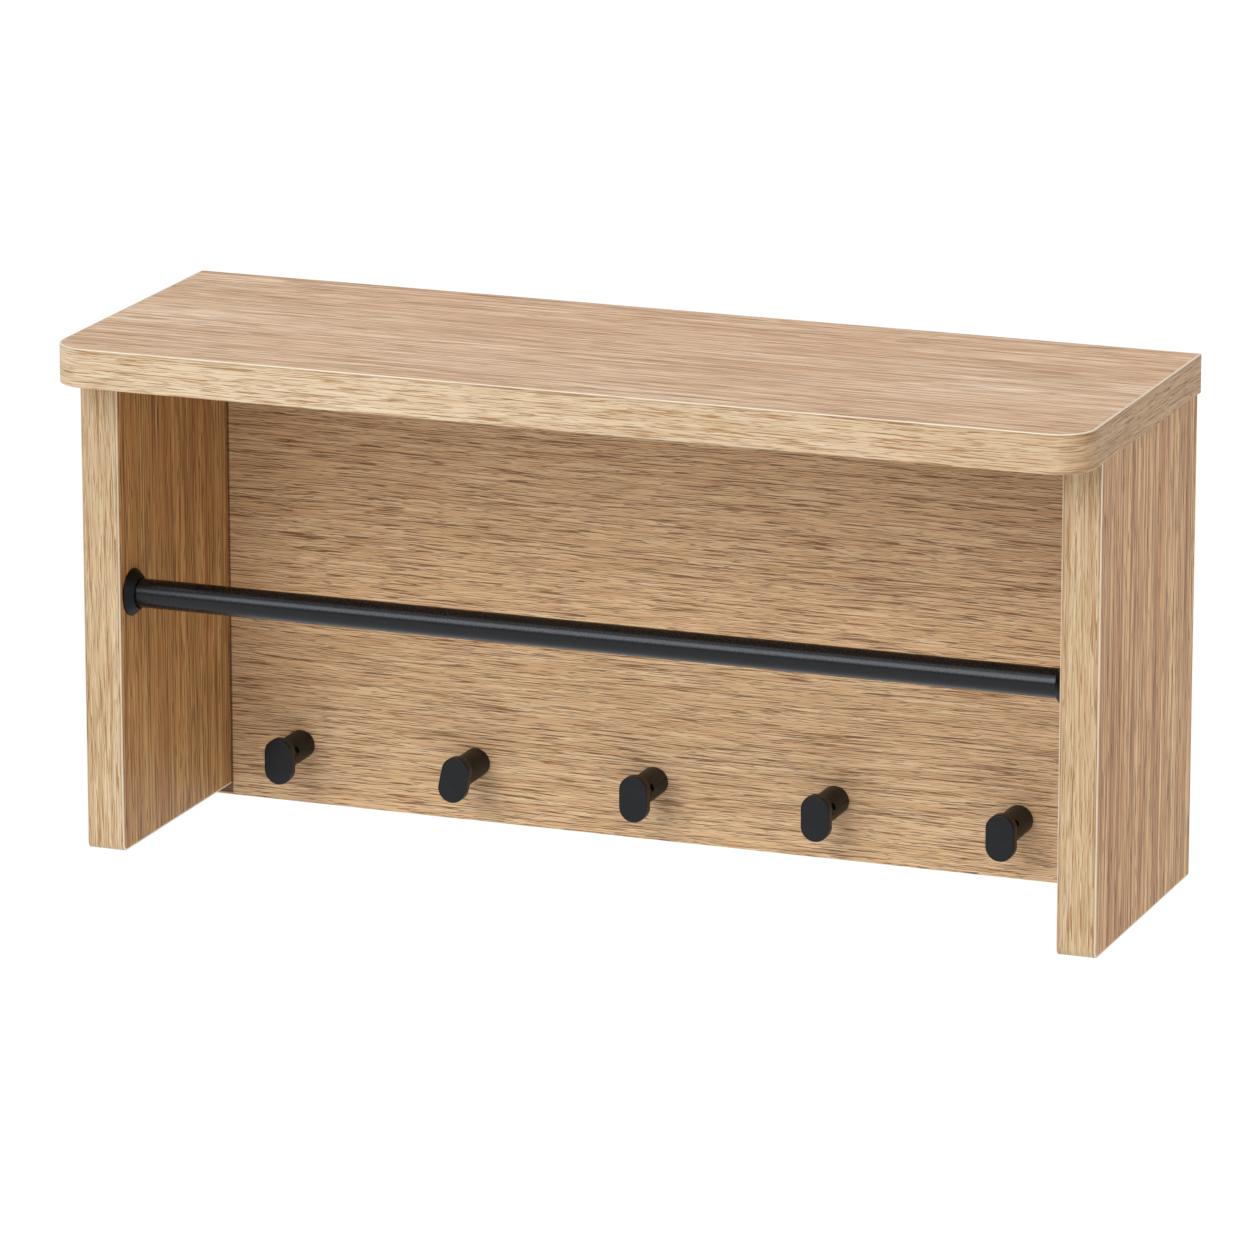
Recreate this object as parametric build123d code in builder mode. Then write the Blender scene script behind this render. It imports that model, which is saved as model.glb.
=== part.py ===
from build123d import *
import math
import os

# Wall-hung shelf with a hanging rod and five swivel-headed hooks.
# X runs along the rack, +Y points into the wall, +Z is up. The origin lies on the wall plane,
# midway between the two hanger slots.

# shelf board and its wrapped edge band
rack_width = 800.0
rack_depth = 280.0
board_thickness = 29.5
corner_radius = 28.0
band_thickness = 1.5
band_arris = 0.8
hanger_drop = 55.0

# side panels, set back from the shelf's front and ends
side_height = 369.0
side_setback = 51.0
side_overhang = 2.5
side_toe_radius = 6.0

# back panel, let into grooves in the sides and the shelf
back_thickness = 18.0
back_recess = 9.0
back_drop = 9.0
side_groove_depth = 14.0
shelf_groove_depth = 8.0
groove_play = 0.1
groove_end_play = 0.2

# dowels between shelf and sides
dowel_radius = 4.0
dowel_in_side = 22.0
dowel_in_shelf = 14.0
dowel_end_gap = 1.0
dowel_chamfer = 0.8
dowel_inset = (60.0, 125.0, 190.0)

# hanging rod and its two sockets
rod_radius = 11.0
rod_bore_radius = 9.8
rod_front_distance = 74.0
rod_drop = 172.0
rod_end_gap = 0.8
socket_radius = 18.0
socket_rim = 1.2
socket_height = 7.0
socket_nose_radius = 12.6
socket_collar_radius = 11.3
socket_floor = 1.8
plug_radius = 9.75
plug_height = 15.0
plug_chamfer = 1.0
socket_screw_length = 30.0

# hooks: hollow stem, swivelling head plate with a tenon, fixing screw, grub screw
hook_count = 5
hook_pitch = 145.5
hook_row_offset = -18.0
hook_above_edge = 46.5
stem_radius = 11.25
stem_length = 37.8
stem_bore_radius = 7.05
stem_floor = 4.0
stem_arris = 0.4
head_gap = 0.2
head_width = 22.5
head_height = 36.0
head_thickness = 8.0
head_drop = 2.5
head_bevel = 0.9
head_back_arris = 0.5
tenon_radius = 7.0
tenon_length = 16.0
tenon_chamfer = 0.6
head_turns = (0.0, -12.0, 0.0, 0.0, 0.0)
hook_screw_length = 16.5

# grub screw that clamps each head's tenon
grub_distance = 32.0
grub_hole_radius = 3.05
grub_radius = 3.0
grub_inner_end = 7.1
grub_length = 2.6
grub_key = 3.0
grub_key_depth = 1.6
grub_angles = (26.0, 156.0, 24.0, 26.0, 40.0)

# wood screws
screw_radius = 2.1
screw_head_radius = 4.2
screw_head_height = 2.0
screw_tip = 4.0
screw_hole_play = 0.05
pilot_overrun = 1.0
countersink_angle = 82.0
recess_width = 1.0
recess_length = 4.4
recess_depth = 1.2

# steel hanger plates with a slot over a larger entry hole
hanger_spacing = 600.0
plate_width = 64.0
plate_height = 34.0
plate_thickness = 2.0
plate_corner_radius = 4.0
plate_centre_drop = 3.0
slot_length = 20.0
slot_radius = 2.5
entry_radius = 5.0
entry_drop = 6.5
plate_screw_offset = 25.0
plate_screw_length = 14.0
pocket_width = 40.0
pocket_height = 24.0
pocket_depth = 6.0

# positions worked out from the sizes above
shelf_bottom = hanger_drop
shelf_top = shelf_bottom + board_thickness
side_outer = rack_width / 2 - side_overhang
side_inner = side_outer - board_thickness
side_middle = (side_outer + side_inner) / 2
side_bottom = shelf_bottom - side_height
side_front = -(rack_depth - side_setback)
back_rear = -back_recess
back_front = back_rear - back_thickness
back_bottom = side_bottom - back_drop
groove_bottom_overrun = 5.0
rod_y = -(rack_depth - rod_front_distance)
rod_z = shelf_bottom - rod_drop
hook_z = back_bottom + hook_above_edge
hook_xs = [hook_row_offset + hook_pitch * (i - (hook_count - 1) / 2) for i in range(hook_count)]
sides = (("left", -1), ("right", 1))

os.makedirs("parts", exist_ok=True)


def save(builder, name):
    """Label a finished piece and write its STEP file."""
    builder.part.label = name
    export_step(builder.part, f"parts/{name}.step")


def side_groove(sign):
    """Cut the upright groove that houses the back panel in one side."""
    low = side_bottom - groove_bottom_overrun
    high = shelf_bottom
    middle_y = (back_front + back_rear) / 2
    with Locations((sign * side_inner, middle_y, (low + high) / 2)):
        Box(2 * side_groove_depth, back_thickness + 2 * groove_play, high - low, mode=Mode.SUBTRACT)


def wood_screws(length, places=((0, 0),)):
    """Countersunk cross-head screws, head tops on the work plane and shanks towards local -Z."""
    downwards = (Align.CENTER, Align.CENTER, Align.MAX)
    for x, y in places:
        with Locations((x, y, 0)):
            Cone(screw_radius, screw_head_radius, screw_head_height, align=downwards)
        with Locations((x, y, -screw_head_height)):
            Cylinder(screw_radius, length - screw_head_height - screw_tip, align=downwards)
        with Locations((x, y, -(length - screw_tip))):
            Cone(recess_width / 2, screw_radius, screw_tip, align=downwards)
        with Locations((x, y, 0)):
            Box(recess_length, recess_width, 2 * recess_depth, mode=Mode.SUBTRACT)
            Box(recess_width, recess_length, 2 * recess_depth, mode=Mode.SUBTRACT)


def screw_holes(places, depth):
    """Countersunk clearance holes for the wood screws, placed on the work plane."""
    with Locations(places):
        CounterSinkHole(
            screw_radius + screw_hole_play,
            screw_head_radius + 2 * screw_hole_play,
            depth=depth,
            counter_sink_angle=countersink_angle,
        )


def shelf_outline(inset, rear):
    """Shelf outline from above: square at the wall, rounded at the front, inset on three sides."""
    with BuildSketch(Plane.XY.offset(shelf_bottom)) as outline:
        with Locations((0, (rear - rack_depth + inset) / 2)):
            Rectangle(rack_width - 2 * inset, rear + rack_depth - inset)
        front_corners = outline.vertices().group_by(Axis.Y)[0]
        fillet(front_corners, corner_radius - inset)
    return outline.sketch


with BuildPart() as top_board:
    add(shelf_outline(band_thickness, 0))
    extrude(amount=board_thickness)
    # groove for the back panel's top edge
    with Locations((0, (back_front + back_rear) / 2, shelf_bottom)):
        Box(
            2 * (side_inner + side_groove_depth),
            back_thickness + 2 * groove_play,
            2 * shelf_groove_depth,
            mode=Mode.SUBTRACT,
        )
    # blind dowel holes above both sides
    with BuildSketch(Plane.XY.offset(shelf_bottom)):
        with Locations([(sign * side_middle, -inset) for _, sign in sides for inset in dowel_inset]):
            Circle(dowel_radius + screw_hole_play)
    extrude(amount=dowel_in_shelf + dowel_end_gap, mode=Mode.SUBTRACT)
save(top_board, "top_board")

with BuildPart() as top_edge_band:
    add(shelf_outline(0, 0))
    extrude(amount=board_thickness)
    upper = top_edge_band.edges().group_by(Axis.Z)[-1].sort_by(Axis.Y)[:-1]
    lower = top_edge_band.edges().group_by(Axis.Z)[0].sort_by(Axis.Y)[:-1]
    fillet(upper + lower, band_arris)
    add(shelf_outline(band_thickness, band_thickness))
    extrude(amount=board_thickness, mode=Mode.SUBTRACT)
save(top_edge_band, "top_edge_band")


def side_profile(sign, inset, rear, top):
    """Face of one side's outline in the YZ plane, with the rounded toe at the bottom front."""
    front = side_front + inset
    bottom = side_bottom + inset
    with BuildSketch(Plane.YZ.offset(min(sign * side_inner, sign * side_outer))) as profile:
        with Locations(((front + rear) / 2, (bottom + top) / 2)):
            Rectangle(rear - front, top - bottom)
        toe = profile.vertices().group_by(Axis.X)[0].sort_by(Axis.Y)[0]
        fillet(toe, side_toe_radius - inset)
    return profile.sketch


for side_name, sign in sides:
    with BuildPart() as side_board:
        add(side_profile(sign, band_thickness, 0, shelf_bottom))
        extrude(amount=board_thickness, dir=(1, 0, 0))
        side_groove(sign)
        with BuildSketch(Plane.XY.offset(shelf_bottom)):
            with Locations([(sign * side_middle, -inset) for inset in dowel_inset]):
                Circle(dowel_radius + screw_hole_play)
        extrude(amount=-(dowel_in_side + dowel_end_gap), mode=Mode.SUBTRACT)
        # pilot hole for the rod socket's screw
        socket_plane = Plane(origin=(sign * side_inner, rod_y, rod_z), z_dir=(-sign, 0, 0))
        with BuildSketch(socket_plane):
            Circle(screw_radius + screw_hole_play)
        pilot_depth = socket_screw_length - plug_height + pilot_overrun
        extrude(amount=-pilot_depth, mode=Mode.SUBTRACT)
    save(side_board, f"{side_name}_side_board")

    with BuildPart() as side_edge_band:
        add(side_profile(sign, 0, 0, shelf_bottom))
        extrude(amount=board_thickness, dir=(1, 0, 0))
        flanks = side_edge_band.faces().filter_by(Axis.X)
        wall_and_top = flanks.edges().filter_by_position(Axis.Y, 0, 0) + flanks.edges().filter_by_position(
            Axis.Z, shelf_bottom, shelf_bottom
        )
        fillet([edge for edge in flanks.edges() if edge not in wall_and_top], band_arris)
        add(side_profile(sign, band_thickness, band_thickness, shelf_bottom + band_thickness))
        extrude(amount=board_thickness, dir=(1, 0, 0), mode=Mode.SUBTRACT)
        side_groove(sign)
    save(side_edge_band, f"{side_name}_side_edge_band")

    with BuildPart() as side_dowels:
        for inset in dowel_inset:
            with Locations((sign * side_middle, -inset, shelf_bottom + (dowel_in_shelf - dowel_in_side) / 2)):
                Cylinder(dowel_radius, dowel_in_side + dowel_in_shelf)
        chamfer(side_dowels.edges().filter_by(GeomType.CIRCLE), dowel_chamfer)
    save(side_dowels, f"{side_name}_side_dowels")

with BuildPart() as back_panel:
    panel_top = shelf_bottom + shelf_groove_depth - groove_end_play
    panel_bottom = back_bottom + band_thickness
    with Locations((0, (back_front + back_rear) / 2, (panel_top + panel_bottom) / 2)):
        Box(2 * (side_inner + side_groove_depth - groove_end_play), back_thickness, panel_top - panel_bottom)
    # pilot holes for the hook screws
    with BuildSketch(Plane(origin=(0, back_front, hook_z), x_dir=(1, 0, 0), z_dir=(0, -1, 0))):
        with Locations([(x, 0) for x in hook_xs]):
            Circle(screw_radius + screw_hole_play)
    extrude(amount=-(hook_screw_length - stem_floor + pilot_overrun), mode=Mode.SUBTRACT)
    # pockets behind the hanger slots and pilot holes for the plate screws
    with BuildSketch(Plane(origin=(0, back_rear, 0), x_dir=(-1, 0, 0), z_dir=(0, 1, 0))):
        with Locations([(sign * hanger_spacing / 2, -plate_centre_drop) for _, sign in sides]):
            RectangleRounded(pocket_width, pocket_height, plate_corner_radius)
    extrude(amount=-pocket_depth, mode=Mode.SUBTRACT)
    with BuildSketch(Plane(origin=(0, back_rear, 0), x_dir=(-1, 0, 0), z_dir=(0, 1, 0))):
        for _, sign in sides:
            for way in (-1, 1):
                with Locations((sign * hanger_spacing / 2 + way * plate_screw_offset, -plate_centre_drop)):
                    Circle(screw_radius + screw_hole_play)
    extrude(amount=-(plate_screw_length - plate_thickness + pilot_overrun), mode=Mode.SUBTRACT)
save(back_panel, "back_panel")

with BuildPart() as back_panel_edge_band:
    with Locations((0, (back_front + back_rear) / 2, back_bottom + band_thickness / 2)):
        Box(2 * (side_inner + side_groove_depth - groove_end_play), back_thickness, band_thickness)
    fillet(back_panel_edge_band.edges().filter_by(Axis.X).group_by(Axis.Z)[0], band_arris)
save(back_panel_edge_band, "back_panel_edge_band")

# hanging rod: an open steel tube that turns on the two socket plugs
rod_length = 2 * (side_inner - socket_floor - rod_end_gap)
with BuildPart() as hanging_rod:
    with BuildSketch(Plane(origin=(-rod_length / 2, rod_y, rod_z), z_dir=(1, 0, 0))):
        Circle(rod_radius)
        Circle(rod_bore_radius, mode=Mode.SUBTRACT)
    extrude(amount=rod_length)
save(hanging_rod, "hanging_rod")

for side_name, sign in sides:
    socket_plane = Plane(origin=(sign * side_inner, rod_y, rod_z), x_dir=(0, 1, 0), z_dir=(-sign, 0, 0))

    # tapered socket with a plug inside the tube and a collar around it
    with BuildPart(socket_plane) as rod_socket:
        with BuildSketch(Plane(origin=socket_plane.origin, x_dir=(0, 1, 0), z_dir=(0, 0, sign))):
            with BuildLine():
                Polyline(
                    (0, 0),
                    (socket_radius, 0),
                    (socket_radius, socket_rim),
                    (socket_nose_radius, socket_height),
                    (socket_collar_radius, socket_height),
                    (socket_collar_radius, socket_floor),
                    (plug_radius, socket_floor),
                    (plug_radius, plug_height - plug_chamfer),
                    (plug_radius - plug_chamfer, plug_height),
                    (0, plug_height),
                    close=True,
                )
            make_face()
        revolve(axis=Axis(socket_plane.origin, socket_plane.z_dir))
        screw_holes([(0, 0, plug_height)], plug_height)
    save(rod_socket, f"{side_name}_rod_socket")

    with BuildPart(socket_plane.offset(plug_height)) as rod_socket_screw:
        wood_screws(socket_screw_length)
    save(rod_socket_screw, f"{side_name}_rod_socket_screw")

for i, hook_x in enumerate(hook_xs):
    number = i + 1
    hook_plane = Plane(origin=(hook_x, back_front, hook_z), x_dir=(1, 0, 0), z_dir=(0, -1, 0))
    grub_angle = math.radians(grub_angles[i])
    grub_origin = (hook_x, back_front - grub_distance, hook_z)
    grub_plane = Plane(
        origin=grub_origin,
        x_dir=(0, 1, 0),
        z_dir=(math.cos(grub_angle), 0, math.sin(grub_angle)),
    )

    # hollow stem, screwed to the panel through its floor
    with BuildPart(hook_plane) as stem:
        with BuildSketch(hook_plane):
            Circle(stem_radius)
        extrude(amount=stem_length)
        chamfer(stem.edges().filter_by(GeomType.CIRCLE).sort_by(Axis.Y)[0], stem_arris)
        with BuildSketch(hook_plane.offset(stem_floor)):
            Circle(stem_bore_radius)
        extrude(amount=stem_length, mode=Mode.SUBTRACT)
        screw_holes([(0, 0, stem_floor)], stem_floor)
        with BuildSketch(grub_plane):
            Circle(grub_hole_radius)
        extrude(amount=stem_radius + pilot_overrun, mode=Mode.SUBTRACT)
    save(stem, f"hook_{number}_stem")

    with BuildPart(hook_plane.offset(stem_floor)) as hook_screw:
        wood_screws(hook_screw_length)
    save(hook_screw, f"hook_{number}_fixing_screw")

    # head plate with the tenon that turns in the stem
    turn = math.radians(head_turns[i])
    head_plane = Plane(
        origin=(hook_x, back_front - stem_length - head_gap, hook_z),
        x_dir=(math.cos(turn), 0, math.sin(turn)),
        z_dir=(0, -1, 0),
    )
    with BuildPart(head_plane) as head:
        with BuildSketch(head_plane):
            with Locations((0, -head_drop)):
                SlotOverall(head_height, head_width, rotation=90)
        extrude(amount=head_thickness)
        chamfer(head.faces().sort_by(Axis.Y)[0].edges(), head_bevel)
        fillet(head.faces().sort_by(Axis.Y)[-1].edges(), head_back_arris)
        with BuildSketch(head_plane):
            Circle(tenon_radius)
        extrude(amount=-tenon_length)
        chamfer(head.edges().filter_by(GeomType.CIRCLE).sort_by(Axis.Y)[-1], tenon_chamfer)
    save(head, f"hook_{number}_head")

    # grub screw with a hexagon socket, sunk in the stem's wall
    with BuildPart() as grub_screw:
        with BuildSketch(grub_plane.offset(grub_inner_end)):
            Circle(grub_radius)
        extrude(amount=grub_length)
        with BuildSketch(grub_plane.offset(grub_inner_end + grub_length)):
            RegularPolygon(grub_key / 2, 6, major_radius=False)
        extrude(amount=-grub_key_depth, mode=Mode.SUBTRACT)
    save(grub_screw, f"hook_{number}_grub_screw")

for side_name, sign in sides:
    hanger_x = sign * hanger_spacing / 2
    plate_plane = Plane(origin=(hanger_x, back_rear, 0), x_dir=(-1, 0, 0), z_dir=(0, 1, 0))
    screw_places = [(way * plate_screw_offset, -plate_centre_drop) for way in (-1, 1)]

    with BuildPart(plate_plane) as hanger_plate:
        with BuildSketch(plate_plane):
            with Locations((0, -plate_centre_drop)):
                RectangleRounded(plate_width, plate_height, plate_corner_radius)
            SlotOverall(slot_length, 2 * slot_radius, mode=Mode.SUBTRACT)
            with Locations((0, -entry_drop)):
                Circle(entry_radius, mode=Mode.SUBTRACT)
        extrude(amount=plate_thickness)
        screw_holes([(x, y, plate_thickness) for x, y in screw_places], plate_thickness)
    save(hanger_plate, f"{side_name}_hanger_plate")

    with BuildPart(plate_plane.offset(plate_thickness)) as hanger_screws:
        wood_screws(plate_screw_length, screw_places)
    save(hanger_screws, f"{side_name}_hanger_screws")
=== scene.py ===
import math

import bmesh
import bpy
import numpy as np
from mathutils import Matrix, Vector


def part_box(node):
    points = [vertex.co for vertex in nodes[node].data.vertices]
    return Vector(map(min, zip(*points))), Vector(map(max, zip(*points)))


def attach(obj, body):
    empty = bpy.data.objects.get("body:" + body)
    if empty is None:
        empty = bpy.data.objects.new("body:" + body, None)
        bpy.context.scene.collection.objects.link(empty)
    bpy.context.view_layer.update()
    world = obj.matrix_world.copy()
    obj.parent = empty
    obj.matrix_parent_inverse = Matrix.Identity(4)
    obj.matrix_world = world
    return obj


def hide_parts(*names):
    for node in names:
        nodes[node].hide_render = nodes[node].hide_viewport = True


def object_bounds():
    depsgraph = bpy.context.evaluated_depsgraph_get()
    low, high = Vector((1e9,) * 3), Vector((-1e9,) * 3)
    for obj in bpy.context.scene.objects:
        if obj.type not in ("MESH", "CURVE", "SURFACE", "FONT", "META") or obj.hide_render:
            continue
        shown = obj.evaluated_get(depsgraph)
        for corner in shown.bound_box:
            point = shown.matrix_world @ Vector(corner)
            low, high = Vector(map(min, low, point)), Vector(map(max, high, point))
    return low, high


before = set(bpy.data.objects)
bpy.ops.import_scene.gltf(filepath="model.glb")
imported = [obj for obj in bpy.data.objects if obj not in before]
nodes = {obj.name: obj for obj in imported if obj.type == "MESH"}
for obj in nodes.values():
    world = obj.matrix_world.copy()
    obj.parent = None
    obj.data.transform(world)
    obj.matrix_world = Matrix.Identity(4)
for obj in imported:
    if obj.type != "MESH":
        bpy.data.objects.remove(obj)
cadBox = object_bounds()
mm = 0.001
hookNumbers = range(1, 6)       # counted from the left
coatIor = 1.5                   # lacquer and powder coat
noiseLow, noiseHigh = 0.3, 0.7  # a noise seldom goes past these
print("frame loaded:", len(nodes), "nodes")


def fromHex(text):
    # "#rrggbb" in sRGB, turned to linear RGBA
    srgb = np.array([int(text[i:i + 2], 16) for i in (1, 3, 5)]) / 255
    linear = np.where(srgb <= 0.04045, srgb / 12.92, ((srgb + 0.055) / 1.055) ** 2.4)
    return (*linear.tolist(), 1.0)


def addNode(tree, kind, settings=None, links=None):
    # one node with its settings and links; "stops" fills a colour ramp
    node = tree.nodes.new(kind)
    for key, value in (settings or {}).items():
        if key == "stops":
            ramp = node.color_ramp
            while len(ramp.elements) < len(value):
                ramp.elements.new(1.0)
            for element, (place, colour) in zip(ramp.elements, value):
                element.position = place
                element.color = fromHex(colour)
        elif isinstance(key, str) and hasattr(node, key):
            setattr(node, key, value)
        else:
            node.inputs[key].default_value = value
    for key, source in (links or {}).items():
        tree.links.new(source, node.inputs[key])
    return node


def newMaterial(name):
    # an empty material with its Principled shader already wired to the output
    material = bpy.data.materials.new(name)
    material.use_nodes = True
    tree = material.node_tree
    tree.nodes.clear()
    shader = addNode(tree, "ShaderNodeBsdfPrincipled")
    addNode(tree, "ShaderNodeOutputMaterial", None, {"Surface": shader.outputs[0]})
    return material, tree, shader


def corner(name, which):
    # lowest (0) or highest (1) corner of a node, in mm
    return np.array(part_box(name)[which]) / mm


def middle(name, axis):
    # middle of a node along one axis, in mm
    return float(corner(name, 0)[axis] + corner(name, 1)[axis]) / 2


def thickness(name, axis):
    # size of a node along one axis, in mm
    return float(corner(name, 1)[axis] - corner(name, 0)[axis])


# Oak: sliced veneer on the boards, and edge bands cut from the same wood. Sizes are (length along the
# grain, width across it) in mm. Real pores are 0.2 mm wide; every mark is drawn wide enough to show.
oakLook = {
    "light": "#e4c7aa",             # between the growth rings
    "middle": "#dbba99",
    "dark": "#cdaa88",              # the rings themselves
    "streak": "#a58160",            # dark lines of open grain
    "fleck": "#f5e6d2",             # pale rays, and the lit side of a pore
    "vein": "#96704a",
    "pore": "#80592f",
    "fibre": "#c4a585",
    "blush": "#e9c3ab",
    "bend": (500.0, 90.0, 8.0),     # how the grain wanders: length, width and how far
    "waver": (120.0, 26.0, 0.6),    # small waves in the grain
    "ringSize": (520.0, 7.0),
    "lineSize": (200.0, 3.2),
    "veinSize": (260.0, 5.0),       # thin dark lines with a lit side
    "poreSize": (20.0, 2.5),
    "fibreSize": (36.0, 2.8),
    "blushSize": (420.0, 110.0),    # patches of pinker wood
    # how high each noise is where its mark starts and where it is full
    "ringStops": (0.3, 0.5, 0.68),  # dark, middle and light wood
    "lineFrom": (0.5, 0.6),
    "fleckFrom": (0.46, 0.3),
    "poreFrom": (0.57, 0.66),
    "fibreFrom": (0.35, 0.65),
    "blushFrom": (0.4, 0.62),
    "veinHeight": 0.5,
    "veinHalf": 0.035,              # half a vein's width, as a share of the noise's height
    "veinSideStep": 2.2,            # its lit side lies this many of those halves higher
    "veinBreak": (0.4, 0.52, 0.1),  # where the fibres start and stop breaking it, and what is left of it
    "edgeAside": 0.55,              # the lit side of a pore lies this many pore widths aside
    # how strongly each mark is laid on
    "lineShare": 0.5,
    "fleckShare": 0.6,
    "veinShare": 0.62,
    "veinSideShare": 0.35,
    "poreShare": 0.4,
    "edgeShare": 0.3,
    "fibreShare": 0.3,
    "blushShare": 0.2,
    "roughness": 0.52,
    "poreRoughness": 0.2,           # added where the pores are open
    "fibreRelief": 0.7,             # how high the fibres stand, as a share of a pore's depth
    "relief": 0.00012,
    "bump": 0.8,
}
# Particleboard between the veneers: the veneer's thickness in mm, and flakes per mm
coreLook = {
    "skin": 0.6, "chip": (0.35, 0.35, 0.75), "stops": (0.0, 0.35, 1.0),
    "brown": "#7d5a3a", "middle": "#a98356", "pale": "#c9a97c", "roughness": 0.85,
}
# The edge of a band: how far in from it, in mm, a dark line and a painted highlight along the corner start
# and are full
arrisLook = {
    "seam": (2.2, 1.6), "seamShare": 0.35, "seamColour": "#7a5a38",
    "edge": (0.9, 0.5), "edgeShare": 0.6, "edgeColour": "#f6ead6",
}


def woodMaterial(name, axes, shift, changes, core=None, arris=None, shadeTones=()):
    # Sliced oak under matt lacquer: warm rings, short dark pores with a lit side, and pale flecks, all
    # lying along the grain, and a satin sheen that the open pores break up. Places are in mm.
    # axes: the object's axes that lie along the grain, across it, and the third one
    # shift: where in the log the piece is cut
    # core: (centre, thickness) on the third axis; what lies deeper than the veneer is particleboard
    # arris: (centre, width, edge) across the grain; a band's corner gets a painted highlight at one edge
    # (1 or -1) or at both (0)
    # tones: (where it starts, where it is full, tint) along the grain, painted shade for darker parts that
    # get less light
    look = {**oakLook, **changes}
    material, tree, shader = newMaterial(name)
    place = addNode(tree, "ShaderNodeTexCoord")
    inMm = addNode(tree, "ShaderNodeMapping", {"Scale": (1 / mm,) * 3}, {"Vector": place.outputs["Object"]})
    split = addNode(tree, "ShaderNodeSeparateXYZ", None, {0: inMm.outputs[0]})
    along, across, third = (split.outputs[axis] for axis in axes)
    plain = addNode(tree, "ShaderNodeCombineXYZ", None, {0: along, 1: across, 2: third})
    moved = addNode(tree, "ShaderNodeVectorMath", {1: shift}, {0: plain.outputs[0]})
    parts = addNode(tree, "ShaderNodeSeparateXYZ", None, {0: moved.outputs[0]})
    thirdSize = 0 if arris else 1       # an edge band is bent round corners along its length

    # the cross coordinate of the grain, bent over long stretches and slightly wavy
    bent = parts.outputs[1]
    for *size, reach in (look["bend"], look["waver"]):
        scale = {"operation": "MULTIPLY", 1: (1 / size[0], 1 / size[1], 1 / size[thirdSize])}
        scaled = addNode(tree, "ShaderNodeVectorMath", scale, {0: moved.outputs[0]})
        smooth = {"Scale": 1.0, "Detail": 1.0}
        sway = addNode(tree, "ShaderNodeTexNoise", smooth, {"Vector": scaled.outputs[0]})
        push = {"operation": "MULTIPLY_ADD", 1: 2 * reach, 2: -reach}
        pushed = addNode(tree, "ShaderNodeMath", push, {0: sway.outputs[0]})
        bent = addNode(tree, "ShaderNodeMath", None, {0: bent, 1: pushed.outputs[0]}).outputs[0]
    grain = addNode(tree, "ShaderNodeCombineXYZ", None, {0: parts.outputs[0], 1: bent, 2: parts.outputs[2]})

    # one stretched noise for each kind of mark; the lit side of a pore is the pore's noise moved aside
    marks = {}
    for mark, kind, source, detail, aside in (
            ("ring", "ring", grain, 3.0, 0.0),
            ("line", "line", grain, 1.0, 0.0),
            ("vein", "vein", grain, 1.0, 0.0),
            ("pore", "pore", grain, 1.0, 0.0),
            ("edge", "pore", grain, 1.0, look["edgeAside"]),
            ("fibre", "fibre", grain, 1.0, 0.0),
            ("blush", "blush", moved, 2.0, 0.0)):
        size = look[kind + "Size"]
        stretch = (1 / size[0], 1 / size[1], 1 / size[thirdSize])
        scale = {"operation": "MULTIPLY_ADD", 1: stretch, 2: (0.0, aside, 0.0)}
        scaled = addNode(tree, "ShaderNodeVectorMath", scale, {0: source.outputs[0]})
        cloudy = {"Scale": 1.0, "Detail": detail}
        noise = addNode(tree, "ShaderNodeTexNoise", cloudy, {"Vector": scaled.outputs[0]})
        marks[mark] = noise.outputs[0]

    # a vein runs where its noise passes one height, so it is long and thin; the fibres break it up
    broken, whole, left = look["veinBreak"]
    span = {"From Min": broken, "From Max": whole, "To Min": left}
    kept = addNode(tree, "ShaderNodeMapRange", span, {"Value": marks["fibre"]})
    sideLevel = look["veinHeight"] + look["veinSideStep"] * look["veinHalf"]
    for mark, level in (("veinSide", sideLevel), ("vein", look["veinHeight"])):
        strip = {"operation": "COMPARE", 1: level, 2: look["veinHalf"]}
        near = addNode(tree, "ShaderNodeMath", strip, {0: marks["vein"]})
        both = {0: near.outputs[0], 1: kept.outputs[0]}
        marks[mark + "Mask"] = addNode(tree, "ShaderNodeMath", {"operation": "MULTIPLY"}, both).outputs[0]

    stops = list(zip(look["ringStops"], (look["dark"], look["middle"], look["light"])))
    colour = addNode(tree, "ShaderNodeValToRGB", {"stops": stops}, {0: marks["ring"]}).outputs[0]
    layers = [      # mark, where it starts and is full, its share, its colour, and how it is laid on
        ("line", *look["lineFrom"], look["lineShare"], look["streak"], "MIX"),
        ("line", *look["fleckFrom"], look["fleckShare"], look["fleck"], "MIX"),
        ("veinSideMask", 0.0, 1.0, look["veinSideShare"], look["fleck"], "MIX"),
        ("veinMask", 0.0, 1.0, look["veinShare"], look["vein"], "MIX"),
        ("edge", *look["poreFrom"], look["edgeShare"], look["fleck"], "MIX"),
        ("pore", *look["poreFrom"], look["poreShare"], look["pore"], "MIX"),
        ("fibre", *look["fibreFrom"], look["fibreShare"], look["fibre"], "MULTIPLY"),
        ("blush", *look["blushFrom"], look["blushShare"], look["blush"], "MULTIPLY"),
    ]
    for mark, low, high, share, tint, mode in layers:
        span = {"From Min": low, "From Max": high, "To Max": share}
        amount = addNode(tree, "ShaderNodeMapRange", span, {"Value": marks[mark]})
        tinted = {"data_type": "RGBA", "blend_type": mode, 7: fromHex(tint)}
        colour = addNode(tree, "ShaderNodeMix", tinted, {0: amount.outputs[0], 6: colour}).outputs[2]
    # painted shade: darker along the grain where less light falls
    for low, high, tint in shadeTones:
        amount = addNode(tree, "ShaderNodeMapRange", {"From Min": low, "From Max": high}, {"Value": along})
        tinted = {"data_type": "RGBA", "blend_type": "MULTIPLY", 7: fromHex(tint)}
        colour = addNode(tree, "ShaderNodeMix", tinted, {0: amount.outputs[0], 6: colour}).outputs[2]

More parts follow.
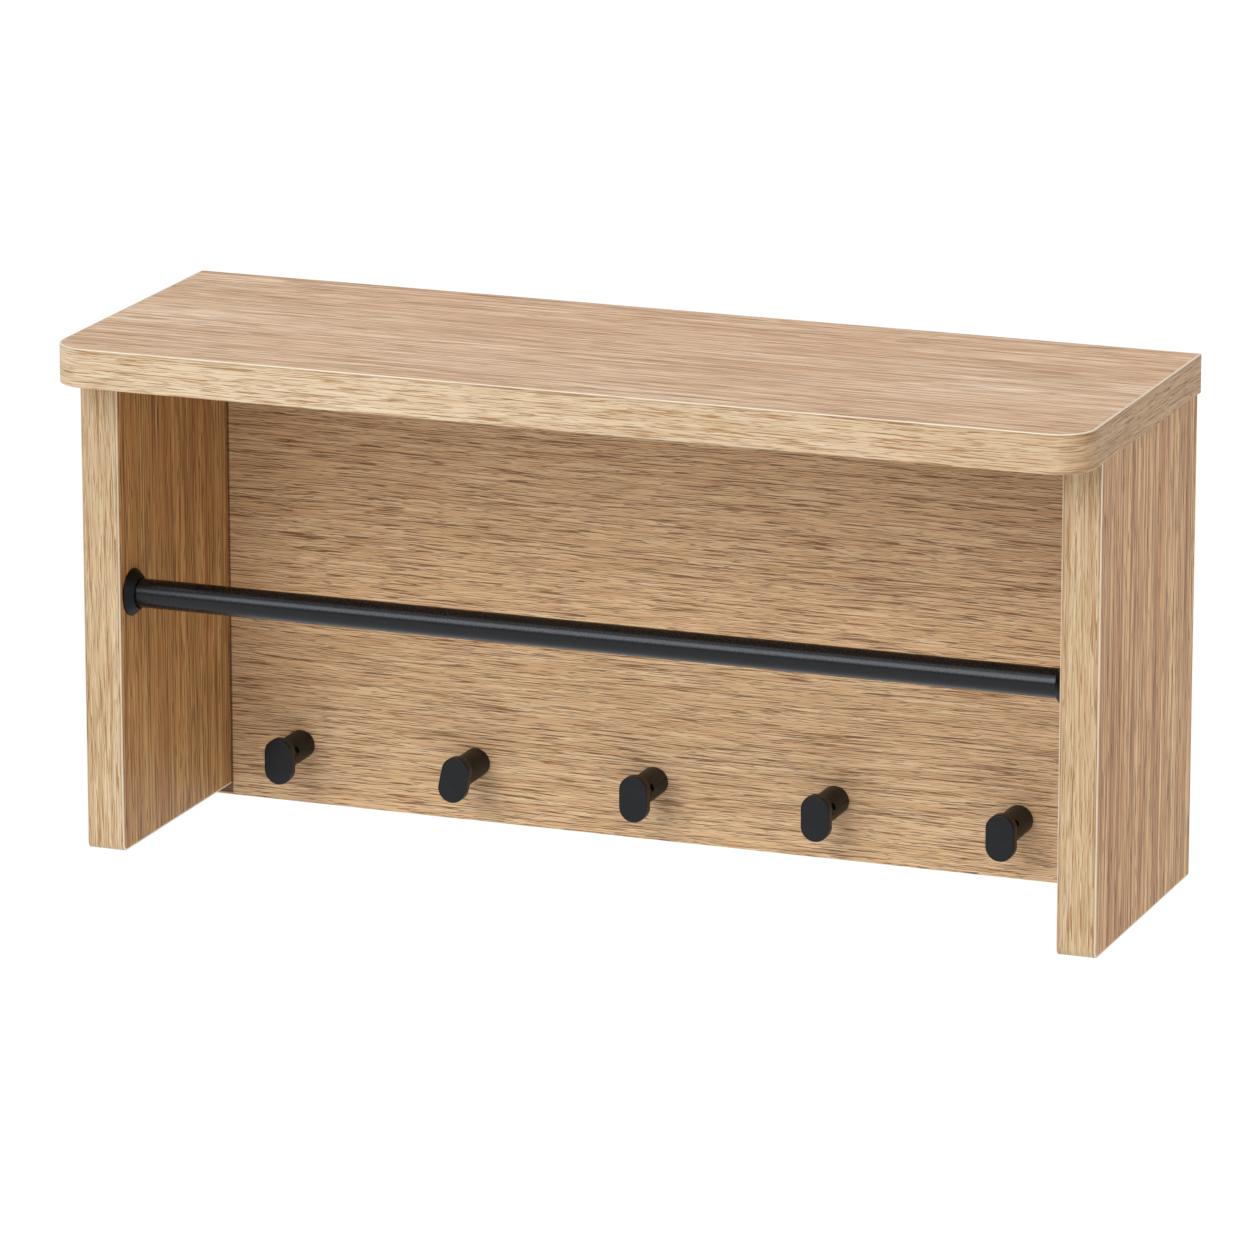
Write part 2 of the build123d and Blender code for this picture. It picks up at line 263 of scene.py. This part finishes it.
    low, high = look["poreFrom"]
    span = {"From Min": low, "From Max": high}
    openPore = addNode(tree, "ShaderNodeMapRange", span, {"Value": marks["pore"]})
    standing = {"operation": "MULTIPLY", 1: look["fibreRelief"]}
    closed = addNode(tree, "ShaderNodeMath", standing, {0: marks["fibre"]})
    both = {0: closed.outputs[0], 1: openPore.outputs[0]}
    height = addNode(tree, "ShaderNodeMath", {"operation": "SUBTRACT"}, both).outputs[0]
    dulled = {"operation": "MULTIPLY_ADD", 1: look["poreRoughness"], 2: look["roughness"]}
    rough = addNode(tree, "ShaderNodeMath", dulled, {0: openPore.outputs[0]}).outputs[0]

    if core:        # flakes of pressed wood between the veneers
        centre, size = core
        scale = {"operation": "MULTIPLY", 1: coreLook["chip"]}
        chips = addNode(tree, "ShaderNodeVectorMath", scale, {0: moved.outputs[0]})
        flake = addNode(tree, "ShaderNodeTexVoronoi", {"Scale": 1.0}, {"Vector": chips.outputs[0]})
        tone = addNode(tree, "ShaderNodeSeparateXYZ", None, {0: flake.outputs["Color"]}).outputs[0]
        stops = list(zip(coreLook["stops"], (coreLook["brown"], coreLook["middle"], coreLook["pale"])))
        coreColour = addNode(tree, "ShaderNodeValToRGB", {"stops": stops}, {0: tone}).outputs[0]
        depth = addNode(tree, "ShaderNodeMath", {"operation": "SUBTRACT", 1: centre}, {0: third})
        depth = addNode(tree, "ShaderNodeMath", {"operation": "ABSOLUTE"}, {0: depth.outputs[0]})
        deeper = {"operation": "LESS_THAN", 1: size / 2 - coreLook["skin"]}
        inside = addNode(tree, "ShaderNodeMath", deeper, {0: depth.outputs[0]}).outputs[0]
        both = {0: inside, 6: colour, 7: coreColour}
        colour = addNode(tree, "ShaderNodeMix", {"data_type": "RGBA"}, both).outputs[2]
        chipHeight = addNode(tree, "ShaderNodeMath", None, {0: tone, 1: flake.outputs["Distance"]}).outputs[0]
        both = {0: inside, 2: height, 3: chipHeight}
        height = addNode(tree, "ShaderNodeMix", {"data_type": "FLOAT"}, both).outputs[0]
        dulled = {"operation": "MULTIPLY", 1: coreLook["roughness"]}
        dull = addNode(tree, "ShaderNodeMath", dulled, {0: inside}).outputs[0]
        rough = addNode(tree, "ShaderNodeMath", {"operation": "MAXIMUM"}, {0: rough, 1: dull}).outputs[0]
    if arris:
        centre, size, edge = arris
        offset = addNode(tree, "ShaderNodeMath", {"operation": "SUBTRACT", 1: centre}, {0: across})
        outward = {"operation": "MULTIPLY" if edge else "ABSOLUTE", 1: float(edge)}
        toEdge = addNode(tree, "ShaderNodeMath", outward, {0: offset.outputs[0]})
        # a dark line, then a painted highlight along the band's corner
        for line in ("seam", "edge"):
            start, full = (size / 2 - inset for inset in arrisLook[line])
            span = {"From Min": start, "From Max": full, "To Max": arrisLook[line + "Share"]}
            amount = addNode(tree, "ShaderNodeMapRange", span, {"Value": toEdge.outputs[0]})
            tinted = {"data_type": "RGBA", 7: fromHex(arrisLook[line + "Colour"])}
            colour = addNode(tree, "ShaderNodeMix", tinted, {0: amount.outputs[0], 6: colour}).outputs[2]
    raised = {"Strength": look["bump"], "Distance": look["relief"]}
    bump = addNode(tree, "ShaderNodeBump", raised, {"Height": height})
    for socket, source in (("Base Color", colour), ("Roughness", rough), ("Normal", bump.outputs[0])):
        tree.links.new(source, shader.inputs[socket])
    shader.inputs["IOR"].default_value = coatIor
    return material


def setMaterial(material, *names):
    for name in names:
        slots = nodes[name].data.materials
        slots.clear()
        slots.append(material)


sideWood = {
    "light": "#e2b781", "middle": "#c89a64", "dark": "#a87b4a", "streak": "#8a5e34", "fleck": "#ecce9e",
    "vein": "#80542c", "pore": "#6e4722", "bend": (600.0, 60.0, 4.0), "ringSize": (900.0, 7.0),
    "lineSize": (200.0, 2.6), "veinSize": (300.0, 4.2), "fibreSize": (45.0, 2.4), "poreSize": (22.0, 2.3),
    "lineShare": 0.65, "veinShare": 0.85, "veinSideShare": 0.6, "poreShare": 0.6,
    "blushSize": (1200.0, 24.0), "blushShare": 0.4,
}
# painted shade: a darker copy of the side wood for the left board, whose inner face lies in shade under the
# shelf
leftShadedWood = {
    **sideWood, "light": "#c89e64", "middle": "#b38750", "dark": "#9d7241", "fleck": "#d3b379",
    "blushShare": 0.3,
}
backWood = {
    "light": "#d3af83", "middle": "#cfa97d", "dark": "#cba378", "streak": "#946b40", "fleck": "#ecd6b0",
    "vein": "#734c26", "pore": "#704a24", "bend": (420.0, 90.0, 6.0), "waver": (140.0, 26.0, 0.35),
    "ringSize": (700.0, 5.0), "lineSize": (60.0, 1.2), "lineFrom": (0.52, 0.6), "lineShare": 0.25,
    "fleckShare": 0.3, "veinSize": (100.0, 1.65), "veinHalf": 0.045, "veinShare": 0.85, "veinSideShare": 0.6,
    "poreSize": (12.0, 1.05), "poreShare": 0.6, "edgeShare": 0.5, "fibreSize": (24.0, 1.1), "blushShare": 0.0,
}
bandWood = {
    "light": "#d9c4a4", "middle": "#d5be9e", "dark": "#ceb593", "streak": "#ad8a58", "fleck": "#e9dcc4",
    "vein": "#9c7238", "pore": "#8c642e", "bend": (300.0, 40.0, 2.5), "waver": (90.0, 16.0, 0.4),
    "ringSize": (500.0, 3.0), "lineSize": (80.0, 1.2), "lineFrom": (0.54, 0.62), "lineShare": 0.25,
    "fleckShare": 0.35, "veinSize": (110.0, 2.2), "veinHalf": 0.04, "veinShare": 0.8, "veinSideShare": 0.5,
    "poreSize": (14.0, 1.1), "poreShare": 0.5, "edgeShare": 0.4, "fibreSize": (26.0, 1.1), "blushShare": 0.05,
}
leftBandWood = {
    **bandWood, "light": "#ccb592", "middle": "#c6ac86", "dark": "#bca077", "streak": "#967446",
    "fleck": "#e0d1b6",
}
# painted shade: a little darker than the left band, for light that falls off towards the right
rightBandShadedWood = {
    **bandWood, "light": "#cbb390", "middle": "#c4a982", "dark": "#b99c72", "streak": "#8c6b40",
    "fleck": "#dccdae",
}
beechWood = {
    "light": "#e3c49d", "middle": "#d8b48a", "dark": "#c69d72", "streak": "#b48a60", "fleck": "#ecd5b4",
    "pore": "#a67b50", "poreSize": (3.0, 0.5), "poreShare": 0.5, "ringSize": (90.0, 2.5),
    "lineSize": (20.0, 0.8),
}
# painted shade: the back panel is darker in the last millimetre or two before each side board, where the
# corner lies in shade
jointShadeTint, jointShadeFrom, jointShadeFull = "#8a7763", 1.7, 0.9
jointLeft, jointRight = float(corner("left_side_board", 1)[0]), float(corner("right_side_board", 0)[0])
jointShadeTones = (
    (jointLeft + jointShadeFrom, jointLeft + jointShadeFull, jointShadeTint),
    (jointRight - jointShadeFrom, jointRight - jointShadeFull, jointShadeTint),
)
# painted shade: the shelf's band gets a little darker to the right, where less light falls, and more so round
# its right corner, on the end in shade
shelfBandShade = ((-150.0, 372.0, "#f3ece4"), (380.0, 397.0, "#e4d9c9"))

# each board: its node, its material, the axis of its thickness, how its grain lies, its place in the log
for name, title, thick, axes, shift, wood, shadeTones in (
        ("top_board", "oakVeneerShelf", 2, (0, 1, 2), (31.0, 212.0, 5.0), {}, ()),
        ("left_side_board", "oakVeneerLeftShaded", 0, (2, 1, 0), (410.0, 77.0, 3.0), leftShadedWood, ()),
        ("right_side_board", "oakVeneerRight", 0, (2, 1, 0), (-260.0, 505.0, 9.0), sideWood, ()),
        ("back_panel", "oakVeneerBack", 1, (0, 2, 1), (150.0, 340.0, 1.0), backWood, jointShadeTones)):
    core = (middle(name, thick), thickness(name, thick))
    setMaterial(woodMaterial(title, axes, shift, wood, core=core, shadeTones=shadeTones), name)

# each edge band: its node, its material, how its grain lies, its place in the log, and its edge with a
# painted highlight
for name, title, axes, shift, wood, edge, shadeTones in (
        ("top_edge_band", "oakBandShelf", (0, 2, 1), (90.0, 40.0, 18.0), bandWood, 1, shelfBandShade),
        ("left_side_edge_band", "oakBandLeft", (2, 0, 1), (410.0, 77.0, 3.0), leftBandWood, 0, ()),
        ("right_side_edge_band", "oakBandRight", (2, 0, 1), (-260.0, 505.0, 9.0), rightBandShadedWood, 0, ()),
        ("back_panel_edge_band", "oakBandBack", (0, 1, 2), (20.0, 95.0, 61.0), backWood, None, ())):
    arris = None if edge is None else (middle(name, axes[1]), thickness(name, axes[1]), edge)
    setMaterial(woodMaterial(title, axes, shift, wood, arris=arris, shadeTones=shadeTones), name)

beech = woodMaterial("beechDowel", (2, 0, 1), (0.0, 0.0, 0.0), beechWood)
setMaterial(beech, "left_side_dowels", "right_side_dowels")
print("wood done")


def powderCoat(name, look):
    # Steel or zinc casting, powder coated in matt black: a fine orange peel that breaks the
    # highlight up, and a faint dusty bloom. peel and bloom are the sizes of these in mm.
    glossier, duller = 0.06, 0.08       # how far the peel moves the roughness
    material, tree, shader = newMaterial(name)
    place = addNode(tree, "ShaderNodeTexCoord")
    fine = {"Scale": 1 / (look["peel"] * mm), "Detail": 2.0, "Roughness": 0.6}
    peel = addNode(tree, "ShaderNodeTexNoise", fine, {"Vector": place.outputs["Object"]})
    cloudy = {"Scale": 1 / (look["bloom"] * mm), "Detail": 3.0}
    bloom = addNode(tree, "ShaderNodeTexNoise", cloudy, {"Vector": place.outputs["Object"]})
    stops = [(noiseLow, look["deep"]), (noiseHigh, look["grey"])]
    colour = addNode(tree, "ShaderNodeValToRGB", {"stops": stops}, {0: bloom.outputs[0]})
    span = {
        "From Min": noiseLow, "From Max": noiseHigh,
        "To Min": look["roughness"] - glossier, "To Max": look["roughness"] + duller,
    }
    rough = addNode(tree, "ShaderNodeMapRange", span, {"Value": peel.outputs[0]})
    raised = {"Strength": 0.5, "Distance": look["relief"]}
    bump = addNode(tree, "ShaderNodeBump", raised, {"Height": peel.outputs[0]})
    for socket, node in (("Base Color", colour), ("Roughness", rough), ("Normal", bump)):
        tree.links.new(node.outputs[0], shader.inputs[socket])
    shader.inputs["IOR"].default_value = coatIor
    shader.inputs["Specular IOR Level"].default_value = look["gloss"]
    shader.inputs["Specular Tint"].default_value = fromHex(look["sheen"])
    return material


def zincPlate(name, look):
    # Rolled or turned steel, bright zinc plated: a cool grey mirror gone satin, with pale and
    # dark crystals and a faint yellow tint. crystal and haze are the sizes of these in mm.
    glossier, duller = 0.08, 0.12       # how far the haze moves the roughness
    crystalShare = 0.45
    material, tree, shader = newMaterial(name)
    place = addNode(tree, "ShaderNodeTexCoord")
    scale = {"Scale": 1 / (look["crystal"] * mm)}
    crystal = addNode(tree, "ShaderNodeTexVoronoi", scale, {"Vector": place.outputs["Object"]})
    tone = addNode(tree, "ShaderNodeSeparateXYZ", None, {0: crystal.outputs["Color"]})
    cloudy = {"Scale": 1 / (look["haze"] * mm), "Detail": 4.0}
    haze = addNode(tree, "ShaderNodeTexNoise", cloudy, {"Vector": place.outputs["Object"]})
    stops = [(0.0, look["deep"]), (0.5, look["tint"]), (1.0, look["bright"])]
    both = {0: tone.outputs[0], 2: haze.outputs[0]}
    mixed = addNode(tree, "ShaderNodeMath", {"operation": "MULTIPLY_ADD", 1: crystalShare}, both)
    colour = addNode(tree, "ShaderNodeValToRGB", {"stops": stops}, {0: mixed.outputs[0]})
    span = {
        "From Min": noiseLow, "From Max": noiseHigh,
        "To Min": look["roughness"] - glossier, "To Max": look["roughness"] + duller,
    }
    rough = addNode(tree, "ShaderNodeMapRange", span, {"Value": haze.outputs[0]})
    raised = {"Strength": 0.4, "Distance": look["relief"]}
    bump = addNode(tree, "ShaderNodeBump", raised, {"Height": haze.outputs[0]})
    for socket, node in (("Base Color", colour), ("Roughness", rough), ("Normal", bump)):
        tree.links.new(node.outputs[0], shader.inputs[socket])
    shader.inputs["Metallic"].default_value = 1.0
    return material


rodCoat = {
    "peel": 1.0, "bloom": 14.0, "deep": "#040404", "grey": "#0a0a0b",
    "roughness": 0.25, "relief": 0.00004, "gloss": 0.38, "sheen": "#f2f6ff",
}
castCoat = {
    "peel": 0.8, "bloom": 9.0, "deep": "#040404", "grey": "#0a0a0b",
    "roughness": 0.42, "relief": 0.00005, "gloss": 0.2, "sheen": "#eef4ff",
}
headCoat = {
    "peel": 0.8, "bloom": 9.0, "deep": "#050505", "grey": "#0c0c0d",
    "roughness": 0.4, "relief": 0.00005, "gloss": 0.33, "sheen": "#f4f8ff",
}
platedLook = {
    "crystal": 2.2, "haze": 6.0, "deep": "#8d9196", "tint": "#b4b3a8", "bright": "#d3d6da",
    "roughness": 0.34, "relief": 0.00002,
}
blackenedLook = {
    "peel": 0.5, "bloom": 3.0, "deep": "#060607", "grey": "#121214",
    "roughness": 0.36, "relief": 0.00002, "gloss": 0.5, "sheen": "#ffffff",
}
rodPaint = powderCoat("powderCoatRod", rodCoat)
castPaint = powderCoat("powderCoatCasting", castCoat)
headPaint = powderCoat("powderCoatHead", headCoat)
zinc = zincPlate("zincPlatedSteel", platedLook)
blackened = powderCoat("blackenedSteelScrew", blackenedLook)
for side in ("left", "right"):
    setMaterial(zinc, f"{side}_hanger_plate", f"{side}_hanger_screws", f"{side}_rod_socket_screw")
for number in hookNumbers:
    setMaterial(zinc, f"hook_{number}_fixing_screw")
    setMaterial(blackened, f"hook_{number}_grub_screw")
print("metal done")


def roundedPath(corners, radii, steps=6):
    # A line through corners, each corner of radius r rounded by an arc of that radius: the arc
    # starts r / tan(half the corner's angle) away from the corner on both sides.
    corners = np.array(corners, float)
    path = []
    for index, (point, radius) in enumerate(zip(corners, radii)):
        if not radius:
            path.append(point[None])
            continue
        back, ahead = corners[index - 1] - point, corners[index + 1] - point
        back, ahead = back / np.linalg.norm(back), ahead / np.linalg.norm(ahead)
        half = math.acos(np.clip(back @ ahead, -1, 1)) / 2
        centre = point + (back + ahead) / np.linalg.norm(back + ahead) * radius / math.sin(half)
        start = point + back * radius / math.tan(half) - centre
        end = point + ahead * radius / math.tan(half) - centre
        sweep = math.pi - 2 * half
        t = np.linspace(0, 1, steps + 1)[:, None]
        arc = (np.sin((1 - t) * sweep) * start + np.sin(t * sweep) * end) / math.sin(sweep)
        path.append(centre + arc)
    return np.concatenate(path)


def onTube(height, radius, angle, origin, axis, side):
    # A point some height up an axis, at a radius from it, turned by an angle from the side:
    # origin + axis * height + radius * (side * cos(angle) + (axis x side) * sin(angle)), all in mm
    height, radius, angle = (np.asarray(value, float)[..., None] for value in (height, radius, angle))
    return origin + axis * height + radius * (side * np.cos(angle) + np.cross(axis, side) * np.sin(angle))


def spun(path, origin, axis, side, angles):
    # a profile of (height, radius) turned through the angles
    return onTube(path[None, :, 0], path[None, :, 1], angles[:, None], origin, axis, side)


weld = 0.002            # points closer than this become one, mm
sharpAngle = 34.0       # edges sharper than this stay crisp


def buildPiece(name, grids, material, body, slot, *replaced):
    # joins grids of points (rows x columns x 3, mm) into one closed mesh
    faces, start = [], 0
    for grid in grids:
        index = np.arange(grid.shape[0] * grid.shape[1]).reshape(grid.shape[:2]) + start
        quads = np.stack([index[:-1, :-1], index[:-1, 1:], index[1:, 1:], index[1:, :-1]], -1)
        faces.append(quads.reshape(-1, 4))
        start += index.size
    points = np.concatenate([grid.reshape(-1, 3) for grid in grids]) * mm
    mesh = bpy.data.meshes.new(name)
    mesh.from_pydata(points.tolist(), [], np.concatenate(faces).tolist())
    joined = bmesh.new()
    joined.from_mesh(mesh)
    bmesh.ops.remove_doubles(joined, verts=joined.verts, dist=weld * mm)
    bmesh.ops.recalc_face_normals(joined, faces=joined.faces)
    joined.to_mesh(mesh)
    joined.free()
    mesh.polygons.foreach_set("use_smooth", np.ones(len(mesh.polygons), bool))
    mesh.set_sharp_from_angle(angle=math.radians(sharpAngle))
    mesh.materials.append(material)
    piece = bpy.data.objects.new(name, mesh)
    bpy.context.scene.collection.objects.link(piece)
    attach(piece, body)
    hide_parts(*replaced)


def around(count):
    # a full turn in equal steps
    return np.linspace(0, 2 * np.pi, count + 1)


# the hanging rod is a steel tube; sizes in mm
rodShape = {"bore": 9.8, "arris": 0.3, "sides": 128, "lengths": 8}


def buildRod():
    low, high = corner("hanging_rod", 0), corner("hanging_rod", 1)
    radius, length = (high[2] - low[2]) / 2, high[0] - low[0]
    start = np.array([low[0], (low[1] + high[1]) / 2, (low[2] + high[2]) / 2])
    bore, arris = rodShape["bore"], rodShape["arris"]
    stations = np.linspace(0, length, rodShape["lengths"] + 1)[1:-1]
    outside = [(height, radius) for height in stations]
    path = roundedPath(
        [(0, bore), (0, radius), *outside, (length, radius), (length, bore), (0, bore)],
        [0, arris, *[0] * len(outside), arris, 0, 0])
    grid = spun(path, start, np.array([1.0, 0, 0]), np.array([0, 1.0, 0]), around(rodShape["sides"]))
    buildPiece("hangingRodTube", [grid], rodPaint, "rod", "black_powder_rod", "hanging_rod")


buildRod()


# the rod sockets are cast cups with a tapered nose; sizes in mm
socketShape = {
    "rim": 1.2, "height": 7.0, "nose": 12.6, "collar": 11.3, "floor": 1.8, "plug": 9.75, "plugTop": 15.0,
    "screwHole": 2.15, "sinkWidth": 4.3, "sinkDepth": 2.47, "sides": 96,
    "arrises": (0, 0.2, 0.7, 0.6, 0.3, 0, 0, 1.0, 0, 0, 0),     # one for each corner of the profile
}


def buildSocket(side, away):
    look, name = socketShape, side + "_rod_socket"
    low, high = corner(name, 0), corner(name, 1)
    radius = (high[2] - low[2]) / 2
    origin = np.array([low[0] if away > 0 else high[0], (low[1] + high[1]) / 2, (low[2] + high[2]) / 2])
    corners = [
        (0, look["screwHole"]), (0, radius), (look["rim"], radius), (look["height"], look["nose"]),
        (look["height"], look["collar"]), (look["floor"], look["collar"]), (look["floor"], look["plug"]),
        (look["plugTop"], look["plug"]), (look["plugTop"], look["sinkWidth"]),
        (look["plugTop"] - look["sinkDepth"], look["screwHole"]), (0, look["screwHole"]),
    ]
    path = roundedPath(corners, look["arrises"])
    grid = spun(path, origin, np.array([away, 0, 0]), np.array([0, 1.0, 0]), around(look["sides"]))
    buildPiece(side + "RodSocketCasting", [grid], castPaint, "rack", "black_powder_socket", name)


buildSocket("left", 1.0)
buildSocket("right", -1.0)
print("rod done")


# a hook is a hollow stem with a grub screw hole, and an obround head on a tenon; sizes in mm
hookShape = {
    "bore": 7.05, "floor": 4.0, "arris": 0.45, "boreArris": 0.25, "footArris": 0.15, "floorFillet": 0.5,
    "screwHole": 2.15, "sinkWidth": 4.3, "sinkDepth": 2.47, "sides": 64,
    "grubHeight": 32.0, "grubHole": 3.05, "grubAngles": (26.0, 156.0, 24.0, 26.0, 40.0),
    "patchSides": 10, "patchHalf": 4.4, "patchRings": 5,
    "headGap": 0.2, "headThickness": 8.0, "headDrop": 2.5, "headHeight": 36.0, "headWidth": 22.5,
    "frontArris": 1.0, "backArris": 0.5, "endSteps": 33, "flankSteps": 5,
    "tenon": 7.0, "tenonLength": 16.0, "tenonInHead": 0.5, "tenonArris": 0.6,
    "headTurns": (0.0, -12.0, 0.0, 0.0, 0.0),
}


def stemGrids(origin, radius, length, grubAngle):
    # The hole is cut out of the wall by a patch: point(t, k) = circle(k) * (1 - t) + square(k) * t, unrolled
    # on the wall; the square is as wide as some of the stem's sides, so its edge meets the rest of the wall.
    look, axis, side = hookShape, np.array([0, -1.0, 0]), np.array([1.0, 0, 0])
    wide, halfPatch = look["patchSides"], look["patchHalf"]
    step = 2 * np.pi / look["sides"]
    angles = grubAngle + step * (np.arange(look["sides"] + 1) - wide / 2)
    low, high = look["grubHeight"] - halfPatch, look["grubHeight"] + halfPatch
    bore, floor = look["bore"], look["floor"]
    foot = roundedPath(
        [(low, radius), (0, radius), (0, look["screwHole"]), (floor - look["sinkDepth"], look["screwHole"]),
         (floor, look["sinkWidth"]), (floor, bore), (low, bore)],
        [0, look["footArris"], 0, 0, 0, look["floorFillet"], 0])
    mouth = roundedPath(
        [(high, radius), (length, radius), (length, bore), (high, bore)],
        [0, look["arris"], look["boreArris"], 0])
    grids = [spun(foot, origin, axis, side, angles), spun(mouth, origin, axis, side, angles)]
    edge = np.linspace(-1, 1, wide + 1)
    squareAngle = np.concatenate([edge[:-1], np.ones(wide), -edge[:-1], -np.ones(wide + 1)])
    squareHeight = np.concatenate([-np.ones(wide), edge[:-1], np.ones(wide), -edge])
    spoke = np.arctan2(squareHeight, squareAngle)
    t = np.linspace(0, 1, look["patchRings"])[:, None]
    loops = []
    for wall in (radius, bore):
        rows = np.linspace(low, high, wide + 1)[None]
        grids.append(onTube(rows, wall, angles[wide:, None], origin, axis, side))
        circle = np.arcsin(look["grubHole"] * np.cos(spoke) / wall)
        patchAngle = grubAngle + (1 - t) * circle + t * squareAngle * wide / 2 * step
        rise = (1 - t) * look["grubHole"] * np.sin(spoke)
        patchHeight = look["grubHeight"] + rise + t * squareHeight * halfPatch
        grids.append(onTube(patchHeight, wall, patchAngle, origin, axis, side))
        loops.append(grids[-1][0])
    grids.append(np.stack(loops))
    return grids


def headGrids(origin, turn):
    # A profile carried round an obround: point(u, v) = spine(u) + radius(v) * outward(u) + axis * height(v),
    # where the spine runs up and down between the centres of the two round ends.
    look, axis = hookShape, np.array([0, -1.0, 0])
    side = np.array([math.cos(turn), 0, math.sin(turn)])
    up = np.cross(axis, side)
    radius, half = look["headWidth"] / 2, (look["headHeight"] - look["headWidth"]) / 2
    ends, flanks = look["endSteps"], look["flankSteps"]
    top, straight = np.linspace(0, np.pi, ends), np.linspace(half, -half, flanks + 2)[1:-1]
    down, back = np.full(flanks, np.pi), np.full(flanks + 1, 2 * np.pi)
    angle = np.concatenate([top, down, top + np.pi, back])
    spine = np.concatenate([np.full(ends, half), straight, np.full(ends, -half), -straight, [half]])
    path = roundedPath(
        [(0, 0), (0, radius), (look["headThickness"], radius), (look["headThickness"], 0)],
        [0, look["backArris"], look["frontArris"], 0])
    plate = onTube(path[None, :, 0], path[None, :, 1], angle[:, None], origin, axis, side)
    plate = plate + (spine - look["headDrop"])[:, None, None] * up
    inner, outer = look["tenonInHead"], -look["tenonLength"]
    tenonPath = roundedPath(
        [(inner, 0), (inner, look["tenon"]), (outer, look["tenon"]), (outer, 0)],
        [0, 0, look["tenonArris"], 0])
    return [plate, spun(tenonPath, origin, axis, side, around(look["sides"]))]


def buildHook(number):
    stem, head = f"hook_{number}_stem", f"hook_{number}_head"
    low, high = corner(stem, 0), corner(stem, 1)
    radius, length = (high[0] - low[0]) / 2, high[1] - low[1]
    origin = np.array([(low[0] + high[0]) / 2, high[1], (low[2] + high[2]) / 2])
    grubAngle, turn = (math.radians(hookShape[key][number - 1]) for key in ("grubAngles", "headTurns"))
    stemWall = stemGrids(origin, radius, length, grubAngle)
    buildPiece(f"hook{number}Stem", stemWall, castPaint, "rack", "black_powder_hook", stem)
    headOrigin = origin - np.array([0, length + hookShape["headGap"], 0])
    headPlate = headGrids(headOrigin, turn)
    buildPiece(f"hook{number}Head", headPlate, headPaint, f"hook_head_{number}", "black_powder_hook", head)


for number in hookNumbers:
    buildHook(number)
print("hooks done")


studio = {
    "floorDrop": 8.0,          # the rack hangs this far above the floor, m
    "floorSize": 1000.0,
    "floorColour": "#f6f6f5",
    "floorGlow": 0.02,         # the floor is lit from below, as on a light table
    "world": 0.36,             # light from all round
    "backdrop": 1.0,           # what is seen beyond the floor is as pale as the floor
    # soft lights: where they shine from (azimuth from the front, elevation), width and strength
    "lights": {
        "keyLight": (-14.0, 30.0, 34.0, 1.5),
        "topLight": (0.0, 82.0, 60.0, 1.5),
        "rightLight": (72.0, 16.0, 50.0, 0.62),
    },
    "cameraPlace": (2.0545, -5.5033, 1.4006),
    "cameraPitch": 14.883,     # how far it looks down
    "cameraYaw": 20.931,
    "lens": 230.4,
    "sensor": 36.0,
}


def buildStudio():
    scene = bpy.context.scene
    scene.view_settings.view_transform = "Standard"
    half = studio["floorSize"] / 2
    level = cadBox[0][2] - studio["floorDrop"]
    mesh = bpy.data.meshes.new("floor")
    rim = [(-half, -half, level), (half, -half, level), (half, half, level), (-half, half, level)]
    mesh.from_pydata(rim, [], [(0, 1, 2, 3)])
    floor = bpy.data.objects.new("floor", mesh)
    scene.collection.objects.link(floor)
    material, _, shader = newMaterial("palePaper")
    shader.inputs["Base Color"].default_value = fromHex(studio["floorColour"])
    shader.inputs["Roughness"].default_value = 0.9
    shader.inputs["Emission Color"].default_value = (1, 1, 1, 1)
    shader.inputs["Emission Strength"].default_value = studio["floorGlow"]
    mesh.materials.append(material)

    world = bpy.data.worlds.new("studioWorld")
    world.use_nodes = True
    background = world.node_tree.nodes["Background"]
    background.inputs["Color"].default_value = (1, 1, 1, 1)
    seen = addNode(world.node_tree, "ShaderNodeLightPath").outputs["Is Camera Ray"]
    strength = {"operation": "MULTIPLY_ADD", 1: studio["backdrop"] - studio["world"], 2: studio["world"]}
    glow = addNode(world.node_tree, "ShaderNodeMath", strength, {0: seen})
    world.node_tree.links.new(glow.outputs[0], background.inputs["Strength"])
    scene.world = world

    for name, (azimuth, elevation, width, energy) in studio["lights"].items():
        lamp = bpy.data.lights.new(name, "SUN")
        lamp.energy, lamp.angle = energy, math.radians(width)
        lampObject = bpy.data.objects.new(name, lamp)
        lampObject.rotation_euler = (math.radians(90 - elevation), 0, math.radians(azimuth))
        scene.collection.objects.link(lampObject)

    lens = bpy.data.cameras.new("camera")
    lens.lens, lens.sensor_width = studio["lens"], studio["sensor"]
    camera = bpy.data.objects.new("camera", lens)
    camera.location = studio["cameraPlace"]
    camera.rotation_euler = (math.radians(90 - studio["cameraPitch"]), 0, math.radians(studio["cameraYaw"]))
    scene.collection.objects.link(camera)
    scene.camera = camera


buildStudio()
print("studio done")

bpy.context.view_layer.update()
